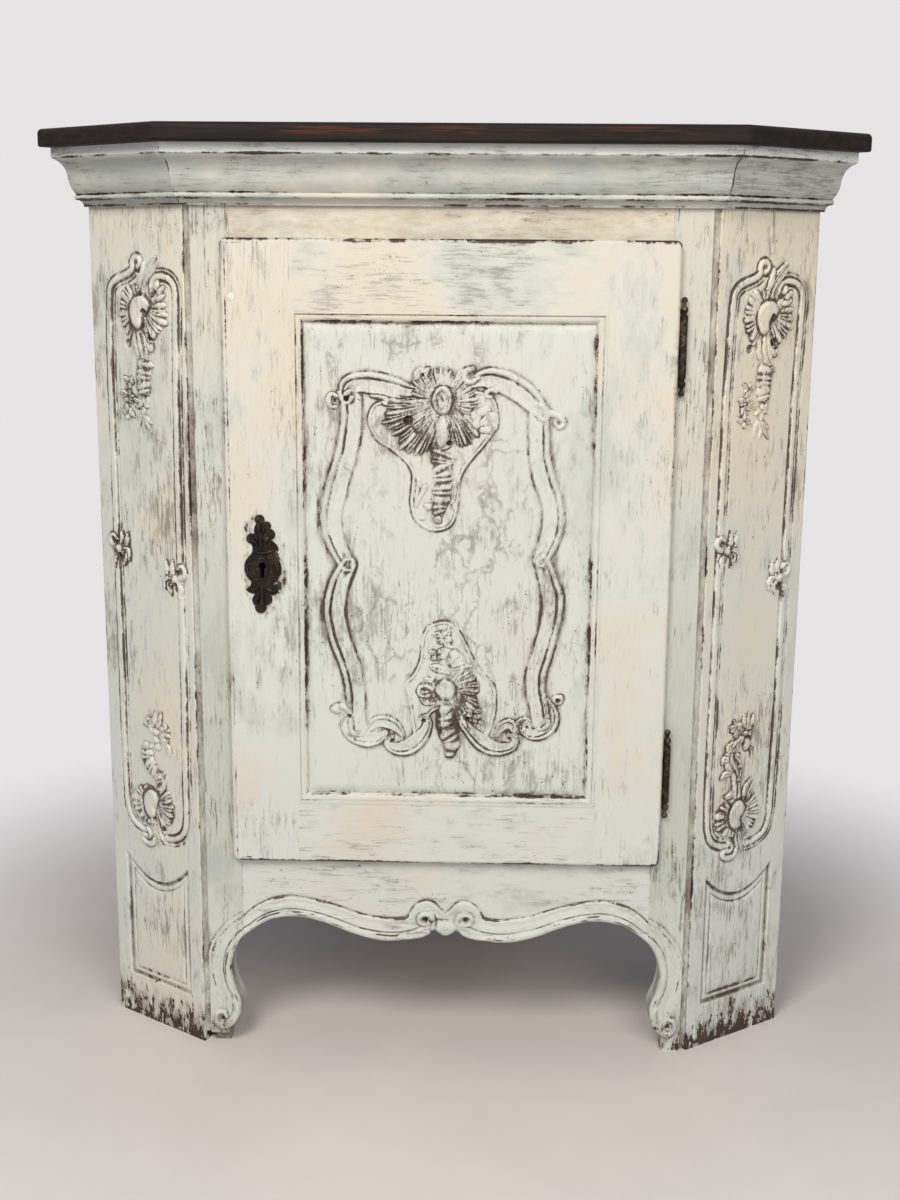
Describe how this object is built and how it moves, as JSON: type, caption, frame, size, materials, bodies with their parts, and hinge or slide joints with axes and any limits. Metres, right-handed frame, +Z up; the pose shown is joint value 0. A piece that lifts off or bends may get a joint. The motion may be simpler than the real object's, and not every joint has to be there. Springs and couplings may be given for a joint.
{
  "type": "corner cabinet",
  "caption": "Low painted corner cabinet with a hinged carved door, canted carved sides, moulded cornice, dark overhanging top and a scalloped apron on scrolled feet.",
  "frame": {"origin": "on the floor, at the middle of the cabinet's bounding box", "axes": "+X towards the door's hinged side, -Y out of the front, +Z up; the two wall sides face backwards at 45 degrees to Y"},
  "size_m": [1.0256, 0.6284, 1.2],
  "materials": {
    "painted_wood": "chalky cream paint, rubbed through to dark wood on the edges",
    "stained_top": "dark stain, waxed, rubbed brown on its front edge",
    "bare_wood": "plain unpainted boards, darkened with age",
    "grey_block": "rough grey wood",
    "white_filler": "matte white plug",
    "dark_iron": "dark brown iron with worn bright spots"
  },
  "bodies": {
    "carcass": {"top_board": "stained_top", "front_cornice": "painted_wood", "left_cornice": "painted_wood", "right_cornice": "painted_wood", "left_front_stile": "painted_wood", "right_front_stile": "painted_wood", "left_foot_block": "grey_block", "lock_keeper": "dark_iron", "top_rail": "painted_wood", "apron_rail": "painted_wood", "frame_tenon_pegs": "painted_wood", "left_pilaster": "painted_wood", "right_pilaster": "painted_wood", "rear_post": "bare_wood", "bottom_board": "bare_wood", "lower_shelf": "bare_wood", "upper_shelf": "bare_wood", "right_wall_cleats": "bare_wood", "left_wall_cleats": "bare_wood", "right_pilaster_cleats": "bare_wood", "left_pilaster_cleats": "bare_wood", "bottom_front_cleat": "bare_wood", "right_top_batten": "bare_wood", "left_top_batten": "bare_wood", "right_back_board_1": "bare_wood", "right_back_board_2": "bare_wood", "right_back_board_3": "bare_wood", "left_back_board_1": "bare_wood", "left_back_board_2": "bare_wood", "left_back_board_3": "bare_wood", "back_board_nails": "dark_iron", "lower_hinge_frame_half": "dark_iron", "upper_hinge_frame_half": "dark_iron"},
    "door": {"door_hinge_stile": "painted_wood", "door_lock_stile": "painted_wood", "door_top_rail": "painted_wood", "door_bottom_rail": "painted_wood", "door_panel": "painted_wood", "door_moulding_left": "painted_wood", "door_moulding_right": "painted_wood", "door_moulding_top": "painted_wood", "door_moulding_bottom": "painted_wood", "door_tenon_pegs": "painted_wood", "door_plug": "white_filler", "lower_hinge_door_half": "dark_iron", "upper_hinge_door_half": "dark_iron", "escutcheon": "dark_iron", "escutcheon_pins": "dark_iron", "lock_case": "dark_iron", "lock_screws": "dark_iron"},
    "bolt": {"lock_bolt": "dark_iron"}
  },
  "joints": [
    {"name": "door_hinge", "type": "hinge", "parent": "carcass", "child": "door", "pos_m": [0.28575, -0.25419, 0.669], "axis": [0, 0, 1], "range_deg": [0, 165]},
    {"name": "lock_bolt_slide", "type": "slide", "parent": "door", "child": "bolt", "axis": [-1, 0, 0], "range_m": [0, 0.014]}
  ]
}
